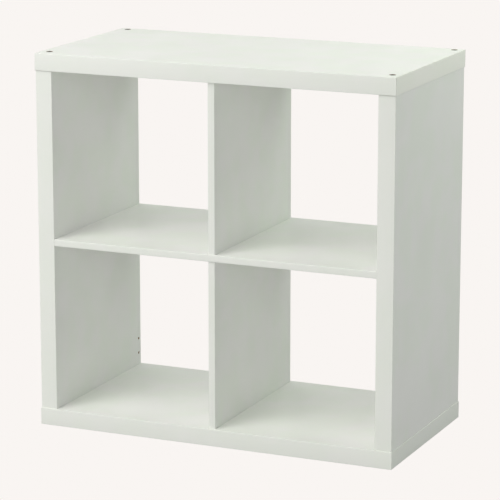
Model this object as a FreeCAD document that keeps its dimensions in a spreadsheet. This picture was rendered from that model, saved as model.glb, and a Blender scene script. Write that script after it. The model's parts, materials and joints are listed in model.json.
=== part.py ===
import FreeCAD, Part
import math
import os
import Sketcher

# A two-by-two cube storage unit. X is the width, Y the depth (front at -Y), Z up, in millimetres.
# The origin is on the floor, under the middle of the unit.
# Four thick panels are board-on-frame: fibreboard skins over particleboard rails and blocks, with
# paper honeycomb in between and plastic bands on the edges. The shelf and dividers are solid board.

DRIVING_SIZES = (
    ("overall_width", 765.0),
    ("overall_depth", 390.0),
    ("overall_height", 765.0),
    ("panel_thickness", 35.0),
    ("skin_thickness", 3.0),
    ("band_thickness", 1.0),
    ("band_rounding", 0.9),
    ("rail_width", 45.0),
    ("middle_block_width", 60.0),
    ("front_overhang", 1.9),
    ("end_overhang", 1.0),
    ("board_thickness", 14.0),
    ("shelf_setback", 0.4),
    ("divider_setback", 2.4),
    ("comb_cell", 26.0),
    ("comb_wall", 0.5),
    ("screw_front_inset", 29.0),
    ("screw_rear_inset", 14.0),
    ("screw_length", 70.0),
    ("screw_sink", 0.3),
    ("screw_shank", 7.0),
    ("screw_root", 5.0),
    ("screw_shank_length", 36.0),
    ("screw_head", 12.2),
    ("screw_tip", 3.0),
    ("screw_socket", 5.0),
    ("screw_socket_depth", 4.0),
    ("thread_pitch", 3.0),
    ("thread_turns", 9.0),
    ("thread_start", 1.0),
    ("thread_foot", 1.8),
    ("thread_crest", 0.3),
    ("thread_sink", 0.2),
    ("head_hole", 13.0),
    ("shank_hole", 7.4),
    ("screw_hole_depth", 38.0),
    ("dowel_diameter", 8.0),
    ("dowel_length", 30.0),
    ("dowel_chamfer", 0.8),
    ("dowel_hole_depth", 15.5),
    ("side_dowel_spacing", 130.0),
    ("shelf_dowel_spacing", 256.0),
    ("divider_dowel_spacing", 192.0),
    ("pilot_hole", 5.0),
    ("pilot_depth", 11.0),
    ("pilot_rear_inset", 10.1),
    ("pilot_low", 26.0),
    ("pilot_pitch", 32.0),
)

# Distances worked out from the driving sizes, as expressions for the document.
CORE = "(Size.panel_thickness - 2 * Size.skin_thickness)"
HALF_WIDTH = "(Size.overall_width / 2)"
HALF_DEPTH = "(Size.overall_depth / 2)"
FLAT_BOARD_X = "(Size.overall_width / 2 - Size.band_thickness)"
FLAT_BOARD_Y = "(Size.overall_depth / 2 - Size.band_thickness)"
SIDE_HALF_DEPTH = "(Size.overall_depth / 2 - Size.front_overhang)"
SIDE_BOARD_Y = "(Size.overall_depth / 2 - Size.front_overhang - Size.band_thickness)"
SIDE_X = "(Size.overall_width / 2 - Size.end_overhang - Size.panel_thickness / 2)"
SIDE_LOW = "Size.panel_thickness"
SIDE_HIGH = "(Size.overall_height - Size.panel_thickness)"
INNER_X = "(Size.overall_width / 2 - Size.end_overhang - Size.panel_thickness)"
MIDDLE = "(Size.overall_height / 2)"
SHELF_LOW = "(Size.overall_height / 2 - Size.board_thickness / 2)"
SHELF_HIGH = "(Size.overall_height / 2 + Size.board_thickness / 2)"
SHELF_HALF_DEPTH = "(Size.overall_depth / 2 - Size.front_overhang - Size.shelf_setback)"
DIVIDER_HALF_DEPTH = "(Size.overall_depth / 2 - Size.front_overhang - Size.divider_setback)"
SCREW_FRONT = "(Size.screw_front_inset - Size.overall_depth / 2)"
SCREW_REAR = "(Size.overall_depth / 2 - Size.screw_rear_inset)"
SIDE_DOWEL = "(Size.side_dowel_spacing / 2)"
SHELF_DOWEL = "(Size.shelf_dowel_spacing / 2)"
DIVIDER_DOWEL = "(Size.divider_dowel_spacing / 2)"
PILOT_Y = "(Size.overall_depth / 2 - Size.front_overhang - Size.pilot_rear_inset)"
PILOT_LOW = "(Size.panel_thickness + Size.pilot_low)"
PILOT_HIGH = "(Size.panel_thickness + Size.pilot_low + Size.pilot_pitch)"

doc = FreeCAD.newDocument("cube_storage_unit")
sub_parts = []


def make_sheet():
    """The spreadsheet of driving sizes, one named cell each."""
    sheet = doc.addObject("Spreadsheet::Sheet", "Size")
    for row, (alias, value) in enumerate(DRIVING_SIZES, start=1):
        sheet.set(f"A{row}", alias)
        sheet.set(f"B{row}", str(value))
        sheet.setAlias(f"B{row}", alias)
    doc.recompute()
    return sheet


sheet = make_sheet()


# Ways of making any piece ---------------------------------------------------------------------


def new_body(label):
    """An empty body that will be one sub-part, and may hold several separate solids."""
    body = doc.addObject("PartDesign::Body", label)
    body.Label = label
    body.AllowCompound = True
    sub_parts.append(body)
    return body


def new_sketch(body, plane_role, level="0"):
    """A sketch on one of the body's origin planes, moved along that plane's normal by level."""
    sketch = body.newObject("Sketcher::SketchObject", "Sketch")
    plane = next(item for item in body.Origin.OriginFeatures if item.Role == plane_role)
    sketch.AttachmentSupport = [(plane, "")]
    sketch.MapMode = "FlatFace"
    sketch.setExpression("AttachmentOffset.Base.z", level)
    return sketch


def bind(sketch, constraint, name, expression):
    """Add one named constraint and tie it to an expression."""
    index = sketch.addConstraint(constraint)
    sketch.renameConstraint(index, name)
    sketch.setExpression(f"Constraints.{name}", expression)


def draw_rectangle(sketch, left, right, low, high):
    """A rectangle whose four sides are given as distances from the sketch's origin."""
    corners = [FreeCAD.Vector(x, y, 0) for x, y in ((-9, -9), (9, -9), (9, 9), (-9, 9))]
    for number, corner in enumerate(corners):
        sketch.addGeometry(Part.LineSegment(corner, corners[(number + 1) % 4]), False)
    for number in range(4):
        sketch.addConstraint(Sketcher.Constraint("Coincident", number, 2, (number + 1) % 4, 1))
    for number, direction in enumerate(("Horizontal", "Vertical", "Horizontal", "Vertical")):
        sketch.addConstraint(Sketcher.Constraint(direction, number))
    bind(sketch, Sketcher.Constraint("DistanceX", -1, 1, 0, 1, -9.0), "left", left)
    bind(sketch, Sketcher.Constraint("DistanceY", -1, 1, 0, 1, -9.0), "low", low)
    bind(sketch, Sketcher.Constraint("DistanceX", -1, 1, 1, 2, 9.0), "right", right)
    bind(sketch, Sketcher.Constraint("DistanceY", -1, 1, 1, 2, 9.0), "high", high)


def value_of(expression):
    """What an expression comes to now, as a plain number."""
    result = sheet.evalExpression(expression)
    return float(getattr(result, "Value", result))


def draw_outline(sketch, corners):
    """A closed outline of straight lines through (x, y) pairs of expressions."""
    points = [FreeCAD.Vector(value_of(x), value_of(y), 0) for x, y in corners]
    count = len(points)
    for number, point in enumerate(points):
        sketch.addGeometry(Part.LineSegment(point, points[(number + 1) % count]), False)
    for number in range(count):
        sketch.addConstraint(Sketcher.Constraint("Coincident", number, 2, (number + 1) % count, 1))
    for number, (point, (x, y)) in enumerate(zip(points, corners)):
        bind(sketch, Sketcher.Constraint("DistanceX", -1, 1, number, 1, point.x), f"x{number}", x)
        bind(sketch, Sketcher.Constraint("DistanceY", -1, 1, number, 1, point.y), f"y{number}", y)


def draw_circles(sketch, centres, diameter):
    """Circles of one diameter, each at an (x, y) pair of expressions."""
    for number, (x, y) in enumerate(centres):
        circle = Part.Circle(FreeCAD.Vector(1, 1, 0), FreeCAD.Vector(0, 0, 1), 2)
        index = sketch.addGeometry(circle, False)
        bind(sketch, Sketcher.Constraint("DistanceX", -1, 1, index, 3, 1.0), f"x{number}", x)
        bind(sketch, Sketcher.Constraint("DistanceY", -1, 1, index, 3, 1.0), f"y{number}", y)
        bind(sketch, Sketcher.Constraint("Diameter", index, 4.0), f"diameter{number}", diameter)


def pad(body, sketch, length):
    """Give a sketch thickness, half of it to each side."""
    feature = body.newObject("PartDesign::Pad", "Pad")
    feature.Profile = sketch
    feature.SideType = "Symmetric"
    feature.setExpression("Length", length)
    return feature


def board(label, plane_role, outline, thickness, place):
    """A flat board centred on an origin plane, then set at its place along one axis."""
    body = new_body(label)
    sketch = new_sketch(body, plane_role)
    draw_rectangle(sketch, *outline)
    pad(body, sketch, thickness)
    axis = "z" if plane_role == "XY_Plane" else "x"
    body.setExpression(f"Placement.Base.{axis}", place)
    return body


def drill(body, plane_role, level, centres, diameter, depth, towards_plus=False):
    """Round holes from a level of an origin plane, to a depth, towards minus or plus its normal."""
    doc.recompute()
    before = body.Shape.Volume
    sketch = new_sketch(body, plane_role, level)
    draw_circles(sketch, centres, diameter)
    feature = body.newObject("PartDesign::Pocket", "Pocket")
    feature.Profile = sketch
    feature.Reversed = towards_plus
    feature.setExpression("Length", depth)
    doc.recompute()
    if body.Shape.Volume >= before - 1.0:
        raise ValueError(f"{body.Label}: the holes cut nothing")


def drill_through(body, plane_role, centres, diameter, thickness):
    """Round holes right through a board that is centred on the plane."""
    drill(body, plane_role, f"{thickness} / 2", centres, diameter, thickness)


def round_outer_edges(body, axis, outer):
    """Round the two long edges of an edge band on its outer face, at axis = outer."""
    doc.recompute()
    shape = body.Tip.Shape
    low, high = axis + "Min", axis + "Max"
    longest = max(edge.Length for edge in shape.Edges)
    names = []
    for number, edge in enumerate(shape.Edges, start=1):
        box = edge.BoundBox
        on_outer_face = abs(getattr(box, low) - outer) < 0.01 and abs(getattr(box, high) - outer) < 0.01
        if on_outer_face and abs(edge.Length - longest) < 0.01:
            names.append(f"Edge{number}")
    base = body.Tip
    feature = body.newObject("PartDesign::Fillet", "Fillet")
    feature.Base = (base, names)
    feature.setExpression("Radius", "Size.band_rounding")


def signed(sign, expression):
    """The expression, or its negative."""
    return expression if sign > 0 else f"-{expression}"


def ordered(sign, near, far):
    """The limits of a stretch from near to far on the plus side, or its mirror image."""
    return (near, far) if sign > 0 else (f"-{far}", f"-{near}")


# Top and bottom panels ------------------------------------------------------------------------
# out is +1 for the top panel, whose outer face looks up, and -1 for the bottom panel.


def flat_level(out):
    """Height of the middle of a flat panel."""
    half = "Size.panel_thickness / 2"
    return f"Size.overall_height - {half}" if out > 0 else half


def flat_skin_level(out, outer):
    """Height of the middle of a flat panel's outer or inner skin."""
    offset = f"({CORE} + Size.skin_thickness) / 2"
    sign = out if outer else -out
    return f"{flat_level(out)} {'+' if sign > 0 else '-'} {offset}"


def screw_places():
    """The four screws, over the middles of the side panels."""
    return [(signed(sign, SIDE_X), y) for sign in (-1, 1) for y in (SCREW_FRONT, SCREW_REAR)]


def side_dowel_places(signs=(-1, 1)):
    """The dowels that stand in the side panels' ends."""
    return [(signed(sign, SIDE_X), signed(turn, SIDE_DOWEL)) for sign in signs for turn in (-1, 1)]


def divider_dowel_places():
    """The dowels that stand in the dividers' ends."""
    return [("0", signed(turn, DIVIDER_DOWEL)) for turn in (-1, 1)]


def flat_outer_skin(panel, out):
    outline = (f"-{FLAT_BOARD_X}", FLAT_BOARD_X, f"-{FLAT_BOARD_Y}", FLAT_BOARD_Y)
    skin = board(f"{panel}_outer_skin", "XY_Plane", outline, "Size.skin_thickness",
                 flat_skin_level(out, True))
    drill_through(skin, "XY_Plane", screw_places(), "Size.head_hole", "Size.skin_thickness")


def flat_inner_skin(panel, out):
    outline = (f"-{FLAT_BOARD_X}", FLAT_BOARD_X, f"-{FLAT_BOARD_Y}", FLAT_BOARD_Y)
    skin = board(f"{panel}_inner_skin", "XY_Plane", outline, "Size.skin_thickness",
                 flat_skin_level(out, False))
    drill_through(skin, "XY_Plane", screw_places(), "Size.shank_hole", "Size.skin_thickness")
    dowels = side_dowel_places() + divider_dowel_places()
    drill_through(skin, "XY_Plane", dowels, "Size.dowel_diameter", "Size.skin_thickness")


def flat_rail(panel, out, name, turn):
    """A rail along the front (turn -1) or rear (turn +1) edge, over the whole width."""
    low, high = ordered(turn, f"({FLAT_BOARD_Y} - Size.rail_width)", FLAT_BOARD_Y)
    rail = board(f"{panel}_{name}_rail", "XY_Plane", (f"-{FLAT_BOARD_X}", FLAT_BOARD_X, low, high),
                 CORE, flat_level(out))
    screw_y = SCREW_FRONT if turn < 0 else SCREW_REAR
    centres = [(signed(sign, SIDE_X), screw_y) for sign in (-1, 1)]
    drill_through(rail, "XY_Plane", centres, "Size.shank_hole", CORE)


def drill_dowel_sockets(block, out, centres):
    """Blind dowel holes into a flat panel's block, from its inner face."""
    depth = "Size.dowel_hole_depth - Size.skin_thickness"
    level = signed(-out, f"({CORE} / 2)")
    drill(block, "XY_Plane", level, centres, "Size.dowel_diameter", depth, towards_plus=out > 0)


def flat_end_block(panel, out, name, sign):
    """A block between the rails at the left (sign -1) or right (sign +1) end."""
    left, right = ordered(sign, f"({FLAT_BOARD_X} - Size.rail_width)", FLAT_BOARD_X)
    reach = f"({FLAT_BOARD_Y} - Size.rail_width)"
    block = board(f"{panel}_{name}_end_block", "XY_Plane", (left, right, f"-{reach}", reach),
                  CORE, flat_level(out))
    drill_dowel_sockets(block, out, side_dowel_places((sign,)))


def flat_middle_block(panel, out):
    """The block over or under the divider."""
    half = "Size.middle_block_width / 2"
    reach = f"({FLAT_BOARD_Y} - Size.rail_width)"
    block = board(f"{panel}_middle_block", "XY_Plane", (f"-{half}", half, f"-{reach}", reach),
                  CORE, flat_level(out))
    drill_dowel_sockets(block, out, divider_dowel_places())


def flat_long_band(panel, out, name, turn):
    """The edge band of the front (turn -1) or rear (turn +1), over the whole width."""
    low, high = ordered(turn, FLAT_BOARD_Y, HALF_DEPTH)
    band = board(f"{panel}_{name}_band", "XY_Plane", (f"-{HALF_WIDTH}", HALF_WIDTH, low, high),
                 "Size.panel_thickness", flat_level(out))
    round_outer_edges(band, "Y", turn * sheet.overall_depth / 2)


def flat_end_band(panel, out, name, sign):
    """The edge band of the left (sign -1) or right (sign +1) end, between the long bands."""
    left, right = ordered(sign, FLAT_BOARD_X, HALF_WIDTH)
    band = board(f"{panel}_{name}_band", "XY_Plane", (left, right, f"-{FLAT_BOARD_Y}", FLAT_BOARD_Y),
                 "Size.panel_thickness", flat_level(out))
    round_outer_edges(band, "X", sign * sheet.overall_width / 2)


# Side panels ----------------------------------------------------------------------------------
# out is -1 for the left side, whose outer face looks to -X, and +1 for the right side.


def side_skin_place(out, outer):
    """Where the middle of a side panel's outer or inner skin lies along X."""
    sign = out if outer else -out
    return f"{signed(out, SIDE_X)} {'+' if sign > 0 else '-'} ({CORE} + Size.skin_thickness) / 2"


def pilot_places(out):
    """The two pilot holes for a wall bracket: low on the left side, high on the right side."""
    heights = (PILOT_LOW, PILOT_HIGH)
    if out > 0:
        heights = tuple(f"(Size.overall_height - {height})" for height in heights)
    return [(PILOT_Y, height) for height in heights]


def shelf_dowel_places():
    """The dowels in the shelf's ends, seen from the side."""
    return [(signed(turn, SHELF_DOWEL), MIDDLE) for turn in (-1, 1)]


def side_outer_skin(panel, out):
    outline = (f"-{SIDE_BOARD_Y}", SIDE_BOARD_Y, SIDE_LOW, SIDE_HIGH)
    board(f"{panel}_outer_skin", "YZ_Plane", outline, "Size.skin_thickness", side_skin_place(out, True))


def side_inner_skin(panel, out):
    outline = (f"-{SIDE_BOARD_Y}", SIDE_BOARD_Y, SIDE_LOW, SIDE_HIGH)
    skin = board(f"{panel}_inner_skin", "YZ_Plane", outline, "Size.skin_thickness",
                 side_skin_place(out, False))
    thickness = "Size.skin_thickness"
    drill_through(skin, "YZ_Plane", shelf_dowel_places(), "Size.dowel_diameter", thickness)
    drill_through(skin, "YZ_Plane", pilot_places(out), "Size.pilot_hole", thickness)


def side_rail(panel, out, name, turn):
    """An upright rail along the front (turn -1) or rear (turn +1) edge, with screw holes in its ends."""
    low, high = ordered(turn, f"({SIDE_BOARD_Y} - Size.rail_width)", SIDE_BOARD_Y)
    rail = board(f"{panel}_{name}_rail", "YZ_Plane", (low, high, SIDE_LOW, SIDE_HIGH), CORE,
                 signed(out, SIDE_X))
    screw = [("0", SCREW_FRONT if turn < 0 else SCREW_REAR)]
    drill(rail, "XY_Plane", SIDE_HIGH, screw, "Size.shank_hole", "Size.screw_hole_depth")
    drill(rail, "XY_Plane", SIDE_LOW, screw, "Size.shank_hole", "Size.screw_hole_depth",
          towards_plus=True)
    if turn > 0:
        depth = "Size.pilot_depth - Size.skin_thickness"
        drill(rail, "YZ_Plane", signed(-out, f"({CORE} / 2)"), pilot_places(out), "Size.pilot_hole",
              depth, towards_plus=out > 0)


def side_end_block(panel, out, name, turn):
    """A block between the rails at the top (turn +1) or bottom (turn -1), with dowel holes."""
    reach = f"({SIDE_BOARD_Y} - Size.rail_width)"
    low, high = SIDE_LOW, f"({SIDE_LOW} + Size.rail_width)"
    if turn > 0:
        low, high = f"({SIDE_HIGH} - Size.rail_width)", SIDE_HIGH
    block = board(f"{panel}_{name}_block", "YZ_Plane", (f"-{reach}", reach, low, high), CORE,
                  signed(out, SIDE_X))
    centres = [("0", signed(side, SIDE_DOWEL)) for side in (-1, 1)]
    drill(block, "XY_Plane", high if turn > 0 else low, centres, "Size.dowel_diameter",
          "Size.dowel_hole_depth", towards_plus=turn < 0)


def side_middle_block(panel, out):
    """The block behind the shelf's end, with the shelf's dowel holes."""
    reach = f"({SIDE_BOARD_Y} - Size.rail_width)"
    half = "Size.middle_block_width / 2"
    block = board(f"{panel}_middle_block", "YZ_Plane",
                  (f"-{reach}", reach, f"{MIDDLE} - {half}", f"{MIDDLE} + {half}"), CORE,
                  signed(out, SIDE_X))
    depth = "Size.dowel_hole_depth - Size.skin_thickness"
    drill(block, "YZ_Plane", signed(-out, f"({CORE} / 2)"), shelf_dowel_places(),
          "Size.dowel_diameter", depth, towards_plus=out > 0)


def side_band(panel, out, name, turn):
    """The edge band of the front (turn -1) or rear (turn +1)."""
    low, high = ordered(turn, SIDE_BOARD_Y, SIDE_HALF_DEPTH)
    band = board(f"{panel}_{name}_band", "YZ_Plane", (low, high, SIDE_LOW, SIDE_HIGH),
                 "Size.panel_thickness", signed(out, SIDE_X))
    round_outer_edges(band, "Y", turn * (sheet.overall_depth / 2 - sheet.front_overhang))


# Honeycomb cores ------------------------------------------------------------------------------


def comb_block(width, depth, thickness):
    """A centred block of honeycomb: a thin frame round staggered rows of hexagonal cells."""
    cell = sheet.comb_cell
    corner = (cell - sheet.comb_wall) / math.sqrt(3)
    row_step = cell * math.sqrt(3) / 2
    columns = int((width - sheet.comb_wall) / cell)
    rows = 1 + int((depth - sheet.comb_wall - 2 * corner) / row_step)
    wires = [Part.makePolygon([
        FreeCAD.Vector(x * width / 2, y * depth / 2, 0)
        for x, y in ((-1, -1), (1, -1), (1, 1), (-1, 1), (-1, -1))])]
    for row in range(rows):
        middle_y = (row - (rows - 1) / 2) * row_step
        count = columns - row % 2
        for column in range(count):
            middle_x = (column - (count - 1) / 2) * cell
            wires.append(Part.makePolygon([
                FreeCAD.Vector(middle_x + corner * math.sin(turn * math.pi / 3),
                               middle_y + corner * math.cos(turn * math.pi / 3), 0)
                for turn in range(7)]))
    solid = Part.Face(wires).extrude(FreeCAD.Vector(0, 0, thickness))
    solid.translate(FreeCAD.Vector(0, 0, -thickness / 2))
    return solid


def honeycomb(label, blocks, place, turn=FreeCAD.Rotation()):
    """The core of one panel: two honeycomb blocks, one on each side of the middle block."""
    core = doc.addObject("Part::Feature", label)
    core.Label = label
    core.Shape = Part.Compound(blocks)
    core.Placement = FreeCAD.Placement(place, turn)
    sub_parts.append(core)


def flat_core(panel, out):
    thickness = sheet.panel_thickness - 2 * sheet.skin_thickness
    inner = sheet.middle_block_width / 2
    outer = sheet.overall_width / 2 - sheet.band_thickness - sheet.rail_width
    depth = sheet.overall_depth - 2 * (sheet.band_thickness + sheet.rail_width)
    blocks = []
    for sign in (-1, 1):
        block = comb_block(outer - inner, depth, thickness)
        block.translate(FreeCAD.Vector(sign * (inner + outer) / 2, 0, 0))
        blocks.append(block)
    height = sheet.panel_thickness / 2
    if out > 0:
        height = sheet.overall_height - height
    honeycomb(f"{panel}_core", blocks, FreeCAD.Vector(0, 0, height))


def side_core(panel, out):
    """The cells run along X, so the blocks are made flat and turned upright."""
    thickness = sheet.panel_thickness - 2 * sheet.skin_thickness
    inner = sheet.middle_block_width / 2
    outer = sheet.overall_height / 2 - sheet.panel_thickness - sheet.rail_width
    edge = sheet.front_overhang + sheet.band_thickness + sheet.rail_width
    blocks = []
    for sign in (-1, 1):
        block = comb_block(outer - inner, sheet.overall_depth - 2 * edge, thickness)
        block.translate(FreeCAD.Vector(sign * (inner + outer) / 2, 0, 0))
        blocks.append(block)
    across = sheet.overall_width / 2 - sheet.end_overhang - sheet.panel_thickness / 2
    upright = FreeCAD.Rotation(FreeCAD.Vector(0, 1, 0), 90)
    honeycomb(f"{panel}_core", blocks, FreeCAD.Vector(out * across, 0, sheet.overall_height / 2),
              upright)


# Shelf and dividers ---------------------------------------------------------------------------


def shelf_board():
    """One board from side to side, with dowel holes in its ends and two right through its middle."""
    reach = f"({SHELF_HALF_DEPTH} - Size.band_thickness)"
    shelf = board("shelf_board", "XY_Plane", (f"-{INNER_X}", INNER_X, f"-{reach}", reach),
                  "Size.board_thickness", MIDDLE)
    drill_through(shelf, "XY_Plane", divider_dowel_places(), "Size.dowel_diameter",
                  "Size.board_thickness")
    centres = [(signed(turn, SHELF_DOWEL), "0") for turn in (-1, 1)]
    for sign in (-1, 1):
        drill(shelf, "YZ_Plane", signed(sign, INNER_X), centres, "Size.dowel_diameter",
              "Size.dowel_hole_depth", towards_plus=sign < 0)


def shelf_band(name, turn):
    low, high = ordered(turn, f"({SHELF_HALF_DEPTH} - Size.band_thickness)", SHELF_HALF_DEPTH)
    band = board(f"shelf_{name}_band", "XY_Plane", (f"-{INNER_X}", INNER_X, low, high),
                 "Size.board_thickness", MIDDLE)
    round_outer_edges(band, "Y",
                      turn * (sheet.overall_depth / 2 - sheet.front_overhang - sheet.shelf_setback))


def divider_board(label, low, high):
    """An upright board between a flat panel and the shelf, with dowel holes in both ends."""
    reach = f"({DIVIDER_HALF_DEPTH} - Size.band_thickness)"
    divider = board(f"{label}_board", "YZ_Plane", (f"-{reach}", reach, low, high),
                    "Size.board_thickness", "0")
    drill(divider, "XY_Plane", high, divider_dowel_places(), "Size.dowel_diameter",
          "Size.dowel_hole_depth")
    drill(divider, "XY_Plane", low, divider_dowel_places(), "Size.dowel_diameter",
          "Size.dowel_hole_depth", towards_plus=True)


def divider_band(label, low, high, name, turn):
    near, far = ordered(turn, f"({DIVIDER_HALF_DEPTH} - Size.band_thickness)", DIVIDER_HALF_DEPTH)
    band = board(f"{label}_{name}_band", "YZ_Plane", (near, far, low, high), "Size.board_thickness", "0")
    round_outer_edges(band, "Y",
                      turn * (sheet.overall_depth / 2 - sheet.front_overhang - sheet.divider_setback))


# Fasteners ------------------------------------------------------------------------------------


def dowels(label, levels, centres, length):
    """Upright beech dowels with chamfered ends, at each level and centre."""
    body = new_body(label)
    for level in levels:
        sketch = new_sketch(body, "XY_Plane", level)
        draw_circles(sketch, centres, "Size.dowel_diameter")
        pad(body, sketch, length)
    chamfer_ends(body)
    return body


def chamfer_ends(body):
    """Chamfer every round edge of a group of dowels."""
    doc.recompute()
    base = body.Tip
    rims = [f"Edge{number}" for number, edge in enumerate(base.Shape.Edges, start=1)
            if isinstance(edge.Curve, Part.Circle)]
    feature = body.newObject("PartDesign::Chamfer", "Chamfer")
    feature.Base = (base, rims)
    feature.setExpression("Size", "Size.dowel_chamfer")


def shelf_dowels():
    """Dowels lying along X, half in the shelf's ends and half in the side panels."""
    body = new_body("shelf_dowels")
    for sign in (-1, 1):
        sketch = new_sketch(body, "YZ_Plane", signed(sign, INNER_X))
        draw_circles(sketch, shelf_dowel_places(), "Size.dowel_diameter")
        pad(body, sketch, "Size.dowel_length")
    chamfer_ends(body)


def screw_profile(sketch):
    """Half the screw's section from the head's top at the origin down to the tip."""
    head = "Size.screw_head / 2"
    seat = "(Size.skin_thickness - Size.screw_sink)"
    shank = "Size.screw_shank / 2"
    root = "Size.screw_root / 2"
    step = "(Size.screw_shank - Size.screw_root) / 2"
    draw_outline(sketch, (
        ("0", "0"),
        (head, "0"),
        (head, f"-{seat}"),
        (shank, f"-{seat}"),
        (shank, "-Size.screw_shank_length"),
        (root, f"-Size.screw_shank_length - {step}"),
        (root, "-Size.screw_length + Size.screw_tip"),
        ("0", "-Size.screw_length"),
    ))


def thread_profile(sketch):
    """The thread's ridge: a narrow crest at the shank's radius and a wide foot inside the root."""
    foot = "(Size.screw_root / 2 - Size.thread_sink)"
    crest = "Size.screw_shank / 2"
    first = "(-Size.screw_length + Size.screw_tip + Size.thread_start)"
    draw_outline(sketch, (
        (foot, f"{first} - Size.thread_foot / 2"),
        (crest, f"{first} - Size.thread_crest / 2"),
        (crest, f"{first} + Size.thread_crest / 2"),
        (foot, f"{first} + Size.thread_foot / 2"),
    ))


def socket_profile(sketch):
    """The hexagon of the key socket."""
    radius = "Size.screw_socket / sqrt(3)"
    turns = [60 * corner for corner in range(6)]
    draw_outline(sketch, [(f"{radius} * cos({turn} deg)", f"{radius} * sin({turn} deg)")
                          for turn in turns])


def make_screw():
    """The pattern for every panel screw: sunk head with a hexagonal socket, plain shank, thread."""
    body = doc.addObject("PartDesign::Body", "screw_pattern")
    profile = new_sketch(body, "XZ_Plane")
    screw_profile(profile)
    turned = body.newObject("PartDesign::Revolution", "Revolution")
    turned.Profile = profile
    turned.ReferenceAxis = (profile, ["V_Axis"])
    turned.Angle = 360
    ridge = new_sketch(body, "XZ_Plane")
    thread_profile(ridge)
    thread = body.newObject("PartDesign::AdditiveHelix", "Thread")
    thread.Profile = ridge
    thread.ReferenceAxis = (ridge, ["V_Axis"])
    thread.Mode = "pitch-height-angle"
    thread.setExpression("Pitch", "Size.thread_pitch")
    thread.setExpression("Height", "Size.thread_turns * Size.thread_pitch")
    doc.recompute()
    hexagon = new_sketch(body, "XY_Plane")
    socket_profile(hexagon)
    socket = body.newObject("PartDesign::Pocket", "Socket")
    socket.Profile = hexagon
    socket.setExpression("Length", "Size.screw_socket_depth")
    doc.recompute()
    return body


def screws(label, pattern, out):
    """Four screws of one flat panel, driven down through the top or up through the bottom."""
    links = []
    for x, y in screw_places():
        link = doc.addObject("App::Link", f"{label}_place")
        link.LinkedObject = pattern
        if out < 0:
            link.Placement.Rotation = FreeCAD.Rotation(FreeCAD.Vector(1, 0, 0), 180)
        link.setExpression("Placement.Base.x", x)
        link.setExpression("Placement.Base.y", y)
        height = "Size.overall_height - Size.screw_sink" if out > 0 else "Size.screw_sink"
        link.setExpression("Placement.Base.z", height)
        links.append(link)
    group = doc.addObject("Part::Compound", label)
    group.Label = label
    group.Links = links
    sub_parts.append(group)


# The whole unit -------------------------------------------------------------------------------


def flat_panel(panel, out):
    flat_outer_skin(panel, out)
    flat_inner_skin(panel, out)
    for name, turn in (("front", -1), ("rear", 1)):
        flat_rail(panel, out, name, turn)
        flat_long_band(panel, out, name, turn)
    for name, sign in (("left", -1), ("right", 1)):
        flat_end_block(panel, out, name, sign)
        flat_end_band(panel, out, name, sign)
    flat_middle_block(panel, out)
    flat_core(panel, out)


def side_panel(panel, out):
    side_outer_skin(panel, out)
    side_inner_skin(panel, out)
    for name, turn in (("front", -1), ("rear", 1)):
        side_rail(panel, out, name, turn)
        side_band(panel, out, name, turn)
    for name, turn in (("bottom", -1), ("top", 1)):
        side_end_block(panel, out, name, turn)
    side_middle_block(panel, out)
    side_core(panel, out)


def inner_boards():
    shelf_board()
    for name, turn in (("front", -1), ("rear", 1)):
        shelf_band(name, turn)
    for label, low, high in (("upper_divider", SHELF_HIGH, SIDE_HIGH),
                             ("lower_divider", SIDE_LOW, SHELF_LOW)):
        divider_board(label, low, high)
        for name, turn in (("front", -1), ("rear", 1)):
            divider_band(label, low, high, name, turn)


def fasteners():
    joints = (SIDE_LOW, SIDE_HIGH)
    dowels("corner_dowels", joints, side_dowel_places(), "Size.dowel_length")
    dowels("divider_dowels", joints, divider_dowel_places(), "Size.dowel_length")
    dowels("shelf_through_dowels", (MIDDLE,), divider_dowel_places(),
           "Size.dowel_length + Size.board_thickness")
    shelf_dowels()
    pattern = make_screw()
    screws("top_screws", pattern, 1)
    screws("bottom_screws", pattern, -1)


def check_document():
    """Stop if any object failed, or any sub-part has no valid shape."""
    doc.recompute()
    for item in doc.Objects:
        if "Invalid" in item.State or "Error" in item.State:
            raise ValueError(f"{item.Name} failed: {item.State}")
    for item in sub_parts:
        if item.Shape.isNull() or not item.Shape.isValid():
            raise ValueError(f"{item.Label} has no valid shape")


def write_steps():
    os.makedirs("parts", exist_ok=True)
    for item in sub_parts:
        item.Shape.exportStep(f"parts/{item.Label}.step")


flat_panel("bottom", -1)
side_panel("left_side", -1)
side_panel("right_side", 1)
flat_panel("top", 1)
inner_boards()
fasteners()
check_document()
write_steps()
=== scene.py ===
import json
import math

import bpy
import numpy as np
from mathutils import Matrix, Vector


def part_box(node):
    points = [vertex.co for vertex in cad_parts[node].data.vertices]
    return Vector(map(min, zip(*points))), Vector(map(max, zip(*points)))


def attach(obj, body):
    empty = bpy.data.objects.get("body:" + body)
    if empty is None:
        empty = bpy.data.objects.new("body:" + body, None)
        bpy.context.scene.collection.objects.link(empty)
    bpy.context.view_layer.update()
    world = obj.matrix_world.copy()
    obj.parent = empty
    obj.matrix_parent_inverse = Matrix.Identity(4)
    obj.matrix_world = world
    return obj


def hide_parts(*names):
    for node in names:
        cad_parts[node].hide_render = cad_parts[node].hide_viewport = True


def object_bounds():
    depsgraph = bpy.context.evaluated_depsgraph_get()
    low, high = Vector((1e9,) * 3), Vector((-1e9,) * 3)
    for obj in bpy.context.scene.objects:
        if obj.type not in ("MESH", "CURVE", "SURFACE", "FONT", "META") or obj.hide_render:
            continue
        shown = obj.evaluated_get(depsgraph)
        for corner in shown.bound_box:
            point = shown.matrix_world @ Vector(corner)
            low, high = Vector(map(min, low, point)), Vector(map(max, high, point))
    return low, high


# A free-standing unit of two by two open cubes, in white satin board. All lengths are in metres.
# It is dressed in the order in which it is put together.

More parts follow.
